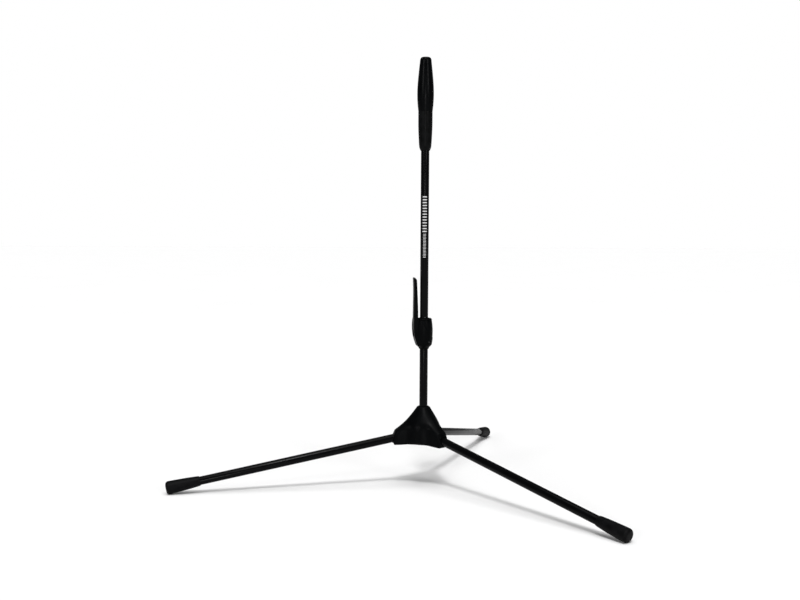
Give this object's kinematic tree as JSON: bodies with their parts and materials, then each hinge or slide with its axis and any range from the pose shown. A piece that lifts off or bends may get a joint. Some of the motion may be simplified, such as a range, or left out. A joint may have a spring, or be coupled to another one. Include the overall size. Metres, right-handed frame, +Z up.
{
  "type": "trumpet stand",
  "caption": "Folding tripod stand with a sliding mast, a cam-lever clutch and a tapered peg that holds a trumpet by its bell.",
  "frame": {"origin": "on the floor, in the middle of the box round the three feet; the mast axis is 94.9 mm from it along +X", "axes": "+Z up along the mast; -X along the left leg, which the clutch lever is in line with; +Y towards the rear leg"},
  "size_m": [0.5954, 0.6852, 0.658],
  "materials": {
    "tube_coat": "satin black powder coat",
    "hub_plastic": "black glass-filled nylon, fine moulded grain",
    "clutch_plastic": "black glass-filled nylon, satin",
    "lever_plastic": "black acetal, satin",
    "peg_plastic": "black satin plastic",
    "peg_rubber": "black soft rubber, satin",
    "foot_rubber": "black rubber, matte",
    "brake_rubber": "black friction rubber",
    "zinc_steel": "bright zinc plate",
    "slide_tube_steel": "drawn steel, nickel finish",
    "natural_nylon": "uncoloured nylon"
  },
  "bodies": {
    "base": {"hub_body": "hub_plastic", "lower_tube_insert": "zinc_steel", "mast_screw": "zinc_steel", "mast_washer": "zinc_steel", "lower_tube": "tube_coat", "clutch_body": "clutch_plastic", "clutch_cap": "clutch_plastic", "clutch_set_screw": "zinc_steel", "lever_pin": "zinc_steel", "left_hinge_pin": "zinc_steel", "left_hinge_washer_1": "natural_nylon", "left_hinge_washer_2": "natural_nylon", "right_hinge_pin": "zinc_steel", "right_hinge_washer_1": "natural_nylon", "right_hinge_washer_2": "natural_nylon", "rear_hinge_pin": "zinc_steel", "rear_hinge_washer_1": "natural_nylon", "rear_hinge_washer_2": "natural_nylon"},
    "clutch_sleeve": {"clutch_liner": "clutch_plastic"},
    "upper_mast": {"upper_tube": "tube_coat", "slide_tube": "slide_tube_steel", "slide_tube_plug": "natural_nylon", "joint_rivet": "tube_coat", "peg_grip": "peg_rubber", "peg_cone": "peg_plastic", "peg_core": "hub_plastic", "peg_core_pin": "zinc_steel"},
    "lever": {"cam_lever": "lever_plastic"},
    "brake": {"brake_shoe": "zinc_steel", "brake_pad": "brake_rubber"},
    "left_leg": {"left_leg_tube": "tube_coat", "left_leg_knuckle": "hub_plastic", "left_leg_saddle": "hub_plastic", "left_knuckle_rivet": "zinc_steel", "left_foot": "foot_rubber"},
    "right_leg": {"right_leg_tube": "tube_coat", "right_leg_knuckle": "hub_plastic", "right_leg_saddle": "hub_plastic", "right_knuckle_rivet": "zinc_steel", "right_foot": "foot_rubber"},
    "rear_leg": {"rear_leg_tube": "tube_coat", "rear_leg_knuckle": "hub_plastic", "rear_leg_saddle": "hub_plastic", "rear_knuckle_rivet": "zinc_steel", "rear_foot": "foot_rubber"}
  },
  "joints": [
    {"name": "mast_turn", "type": "hinge", "parent": "base", "child": "clutch_sleeve", "pos_m": [0.09487, 0, 0.2554], "axis": [0, 0, 1], "continuous": true},
    {"name": "mast_height", "type": "slide", "parent": "clutch_sleeve", "child": "upper_mast", "axis": [0, 0, 1], "range_m": [0, 0.12]},
    {"name": "lever_swing", "type": "hinge", "parent": "base", "child": "lever", "pos_m": [0.08257, 0, 0.242], "axis": [0, -1, 0], "range_deg": [0, 100]},
    {"name": "brake_travel", "type": "slide", "parent": "base", "child": "brake", "axis": [-1, 0, 0], "range_m": [0, 0.0006]},
    {"name": "left_leg_fold", "type": "hinge", "parent": "base", "child": "left_leg", "pos_m": [0.07487, 0, 0.07891], "axis": [0, -1, 0], "range_deg": [0, 79.3]},
    {"name": "right_leg_fold", "type": "hinge", "parent": "base", "child": "right_leg", "pos_m": [0.10487, -0.01732, 0.07891], "axis": [0.866, 0.5, 0], "range_deg": [0, 79.3]},
    {"name": "rear_leg_fold", "type": "hinge", "parent": "base", "child": "rear_leg", "pos_m": [0.10487, 0.01732, 0.07891], "axis": [-0.866, 0.5, 0], "range_deg": [0, 79.3]}
  ],
  "couplings": [
    {"joint": "brake_travel", "follows": "lever_swing", "m_per_rad": 0.00034}
  ]
}
